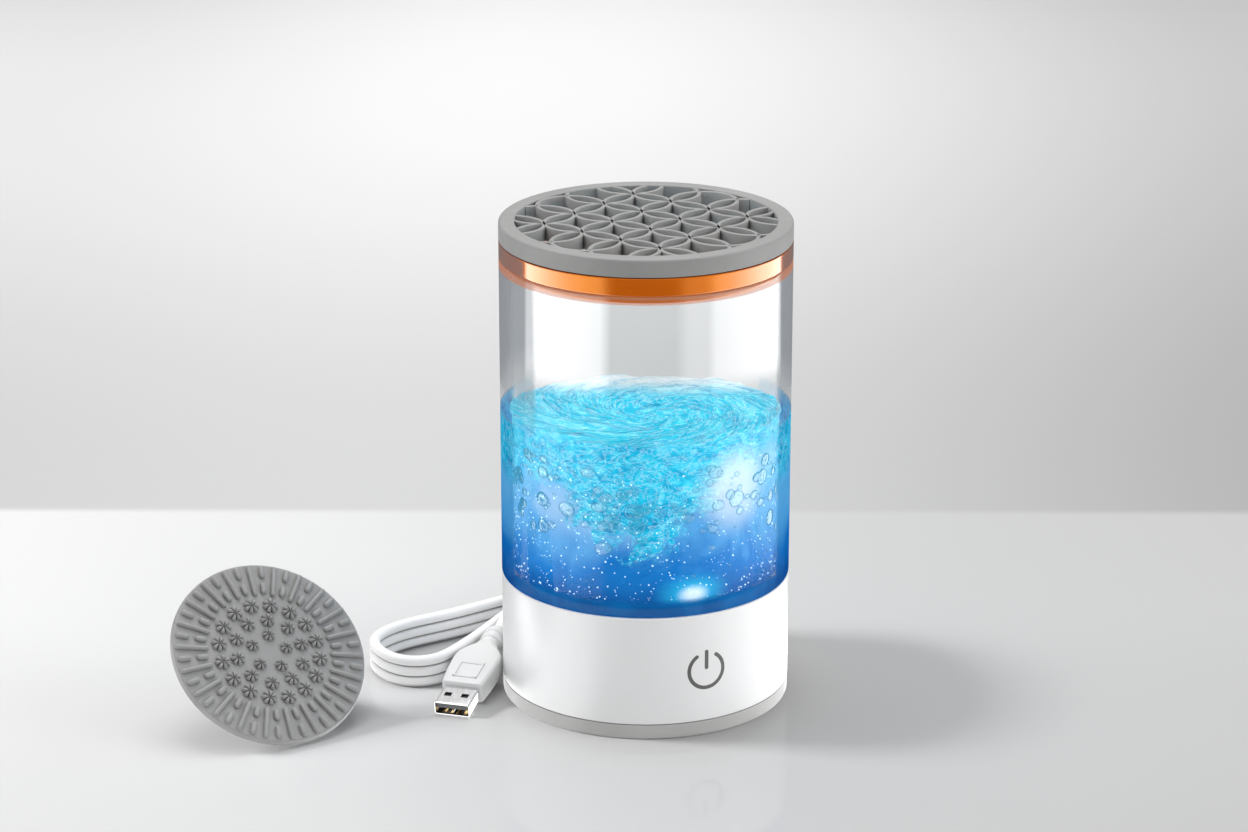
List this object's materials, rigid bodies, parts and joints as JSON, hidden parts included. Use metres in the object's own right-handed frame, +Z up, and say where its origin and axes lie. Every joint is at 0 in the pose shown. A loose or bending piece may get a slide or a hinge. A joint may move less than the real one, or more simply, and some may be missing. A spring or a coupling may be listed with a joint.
{
  "type": "brush cleaner",
  "caption": "Round motor base with a lift-off clear cup, amber collar, silicone brush holder with a ring-pattern grid, a loose scrub pad and a USB lead.",
  "frame": {"origin": "on the table, under the axis of the cup, at the centre of the foot's underside", "axes": "+Z up along the cup's axis; -Y towards the side that carries the touch key (the key is 25 degrees round towards +X); +X to the right"},
  "size_m": [0.2008, 0.142, 0.161],
  "materials": {
    "white_shell": "high gloss moulded ABS",
    "grey_foot": "satin moulded rubber",
    "grey_silicone": "matt silicone",
    "clear_cup": "clear polished styrene",
    "amber_collar": "translucent amber, glossy",
    "dark_mark": "matt dark grey inlay",
    "black_plastic": "satin black",
    "black_rubber": "matt black rubber",
    "magnet": "sintered ferrite",
    "steel": "satin steel",
    "plated_steel": "bright nickel plate",
    "bronze": "turned",
    "copper": "enamelled copper wire",
    "board_green": "solder mask",
    "red_lead": "PVC sleeve",
    "black_lead": "PVC sleeve",
    "grey_lead": "PVC sleeve",
    "cord_white": "soft satin PVC",
    "plug_white": "satin moulded PVC",
    "wash_water": "blue-tinted water"
  },
  "bodies": {
    "base": {"non_slip_foot": "grey_foot", "bottom_cover": "white_shell", "cover_screw_1": "steel", "cover_screw_2": "steel", "cover_screw_3": "steel", "cover_screw_4": "steel", "base_shell": "white_shell", "cup_seat_gasket": "grey_silicone", "power_mark_ring": "dark_mark", "power_mark_bar": "dark_mark", "motor_can": "steel", "motor_end_cap": "black_plastic", "motor_magnet_left": "magnet", "motor_magnet_right": "magnet", "motor_damper": "black_rubber", "motor_screw_1": "steel", "motor_screw_2": "steel", "main_board": "board_green", "board_screw_1": "steel", "board_screw_2": "steel", "driver_chip": "black_plastic", "board_capacitor": "black_plastic", "touch_board": "board_green", "touch_electrode": "steel", "touch_lead": "grey_lead", "motor_lead_red": "red_lead", "motor_lead_black": "black_lead", "supply_lead": "cord_white", "strain_relief": "cord_white", "cord_first_stretch": "cord_white", "cord_hank": "cord_white", "cord_last_stretch": "cord_white", "plug_shell": "plated_steel", "plug_tongue": "black_plastic", "plug_contact_1": "bronze", "plug_contact_2": "bronze", "plug_contact_3": "bronze", "plug_contact_4": "bronze", "plug_body": "plug_white", "plug_boot": "plug_white"},
    "motor_rotor": {"motor_armature": "copper", "motor_shaft": "steel", "lower_coupler": "black_rubber"},
    "cup_body": {"cup": "clear_cup", "spindle_bush": "bronze", "shaft_seal": "black_rubber"},
    "drive_spindle": {"spindle": "steel", "retaining_clip": "steel", "upper_coupler": "black_plastic", "drive_head": "white_shell"},
    "collar": {"collar_ring": "amber_collar", "collar_seal": "grey_silicone"},
    "holder": {"brush_holder": "grey_silicone"},
    "pad": {"scrub_pad": "grey_silicone", "pad_socket": "grey_silicone"}
  },
  "joints": [
    {"name": "motor_spin", "type": "hinge", "parent": "base", "child": "motor_rotor", "pos_m": [0, 0, 0.02], "axis": [0, 0, 1], "continuous": true},
    {"name": "cup_lift", "type": "slide", "parent": "base", "child": "cup_body", "axis": [0, 0, 1], "range_m": [0, 0.06]},
    {"name": "spindle_spin", "type": "hinge", "parent": "cup_body", "child": "drive_spindle", "pos_m": [0, 0, 0.045], "axis": [0, 0, 1], "continuous": true},
    {"name": "collar_lift", "type": "slide", "parent": "cup_body", "child": "collar", "axis": [0, 0, 1], "range_m": [0, 0.03]},
    {"name": "holder_lift", "type": "slide", "parent": "collar", "child": "holder", "axis": [0, 0, 1], "range_m": [0, 0.03]},
    {"name": "pad_lift", "type": "slide", "parent": "base", "child": "pad", "axis": [0, 0, 1], "range_m": [0, 0.06]}
  ],
  "couplings": [
    {"joint": "spindle_spin", "follows": "motor_spin", "ratio": 1}
  ]
}
